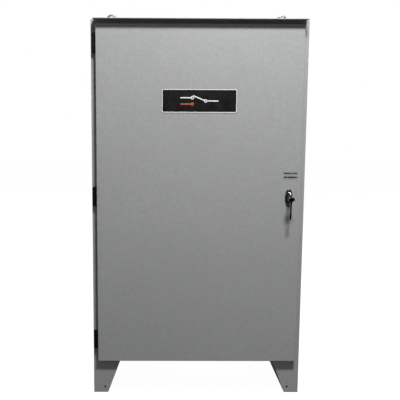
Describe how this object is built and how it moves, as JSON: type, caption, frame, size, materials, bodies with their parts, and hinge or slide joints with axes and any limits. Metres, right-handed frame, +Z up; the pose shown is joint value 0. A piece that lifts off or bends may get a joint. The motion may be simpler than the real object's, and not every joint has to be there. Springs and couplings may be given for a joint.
{
  "type": "transfer switch",
  "caption": "Floor-standing transfer switch cabinet: hinged door with a handle-worked three-point latch over a double-throw blade switch thrown by hand lever or coils.",
  "frame": {"origin": "on the floor, under the middle of the whole object, handle included", "axes": "+Z up, the door faces -Y, hinges at -X and handle at +X"},
  "size_m": [0.914, 0.612, 1.681],
  "materials": {
    "case_paint": "light grey textured powder coat",
    "zinc_plate": "zinc plated, dull",
    "gasket_rubber": "matt black",
    "nameplate_black": "satin black with a white border",
    "label_grey": "matt",
    "hinge_black": "satin black",
    "handle_chrome": "polished",
    "black_moulding": "moulded",
    "panel_white": "satin white",
    "red_moulding": "glass-filled moulding",
    "copper": "bare copper, brushed",
    "coil_winding": "varnished tape over the winding"
  },
  "bodies": {
    "cabinet": {"enclosure_wrapper": "case_paint", "enclosure_front": "case_paint", "enclosure_back": "case_paint", "drip_hood": "case_paint", "left_floor_stand": "case_paint", "right_floor_stand": "case_paint", "left_lifting_eye": "zinc_plate", "right_lifting_eye": "zinc_plate", "upper_hinge_case_leaf": "hinge_black", "middle_hinge_case_leaf": "hinge_black", "lower_hinge_case_leaf": "hinge_black", "mounting_panel": "panel_white", "neutral_bar": "copper", "ground_bar": "copper", "terminal_strip": "black_moulding", "switch_base": "red_moulding", "left_side_plate": "zinc_plate", "right_side_plate": "zinc_plate", "utility_terminal_1": "copper", "utility_terminal_2": "copper", "utility_terminal_3": "copper", "generator_terminal_1": "copper", "generator_terminal_2": "copper", "generator_terminal_3": "copper", "load_terminal_1": "copper", "load_terminal_2": "copper", "load_terminal_3": "copper", "utility_coil_bracket": "zinc_plate", "generator_coil_bracket": "zinc_plate", "utility_coil": "coil_winding", "generator_coil": "coil_winding"},
    "door": {"door_panel": "case_paint", "door_gasket": "gasket_rubber", "door_stiffener": "case_paint", "door_nameplate": "nameplate_black", "latch_label": "label_grey", "upper_hinge_door_leaf": "hinge_black", "middle_hinge_door_leaf": "hinge_black", "lower_hinge_door_leaf": "hinge_black", "handle_escutcheon": "handle_chrome", "spindle_bushing": "zinc_plate", "upper_rod_guide": "zinc_plate", "lower_rod_guide": "zinc_plate"},
    "handle": {"handle_lever": "handle_chrome", "handle_spindle": "zinc_plate", "latch_cam": "zinc_plate"},
    "lock": {"lock_plug": "handle_chrome"},
    "upper_rod": {"upper_latch_rod": "zinc_plate"},
    "lower_rod": {"lower_latch_rod": "zinc_plate"},
    "upper_roller": {"upper_rod_roller": "black_moulding"},
    "lower_roller": {"lower_rod_roller": "black_moulding"},
    "blades": {"contact_crossbar": "black_moulding", "contact_blade_1": "copper", "contact_blade_2": "copper", "contact_blade_3": "copper", "throw_lever": "zinc_plate", "throw_grip": "gasket_rubber", "throw_crank": "zinc_plate"},
    "plunger": {"coil_plunger": "zinc_plate"}
  },
  "joints": [
    {"name": "door_swing", "type": "hinge", "parent": "cabinet", "child": "door", "pos_m": [-0.446, -0.217, 0.884], "axis": [0, 0, -1], "range_deg": [0, 110]},
    {"name": "handle_turn", "type": "hinge", "parent": "door", "child": "handle", "pos_m": [0.384, -0.232, 0.905], "axis": [0, 1, 0], "range_deg": [0, 90]},
    {"name": "lock_turn", "type": "hinge", "parent": "door", "child": "lock", "pos_m": [0.384, -0.232, 0.865], "axis": [0, 1, 0], "range_deg": [0, 90]},
    {"name": "upper_rod_pivot", "type": "hinge", "parent": "handle", "child": "upper_rod", "pos_m": [0.384, -0.1899, 0.929], "axis": [0, 1, 0], "range_deg": [-92.5, 0]},
    {"name": "lower_rod_pivot", "type": "hinge", "parent": "handle", "child": "lower_rod", "pos_m": [0.384, -0.1899, 0.881], "axis": [0, 1, 0], "range_deg": [-92.5, 0]},
    {"name": "upper_roller_spin", "type": "hinge", "parent": "upper_rod", "child": "upper_roller", "pos_m": [0.384, -0.1899, 1.597], "axis": [1, 0, 0], "continuous": true},
    {"name": "lower_roller_spin", "type": "hinge", "parent": "lower_rod", "child": "lower_roller", "pos_m": [0.384, -0.1899, 0.165], "axis": [1, 0, 0], "continuous": true},
    {"name": "switch_throw", "type": "hinge", "parent": "cabinet", "child": "blades", "pos_m": [0, 0.163, 0.98], "axis": [1, 0, 0], "range_deg": [0, 90]},
    {"name": "plunger_slide", "type": "slide", "parent": "cabinet", "child": "plunger", "axis": [0, 0, -1], "range_m": [0, 0.0567]}
  ],
  "couplings": [
    {"joint": "upper_rod_pivot", "follows": "handle_turn", "ratio": -1.0254},
    {"joint": "lower_rod_pivot", "follows": "handle_turn", "ratio": -1.0242},
    {"joint": "plunger_slide", "follows": "switch_throw", "m_per_rad": 0.036013}
  ]
}
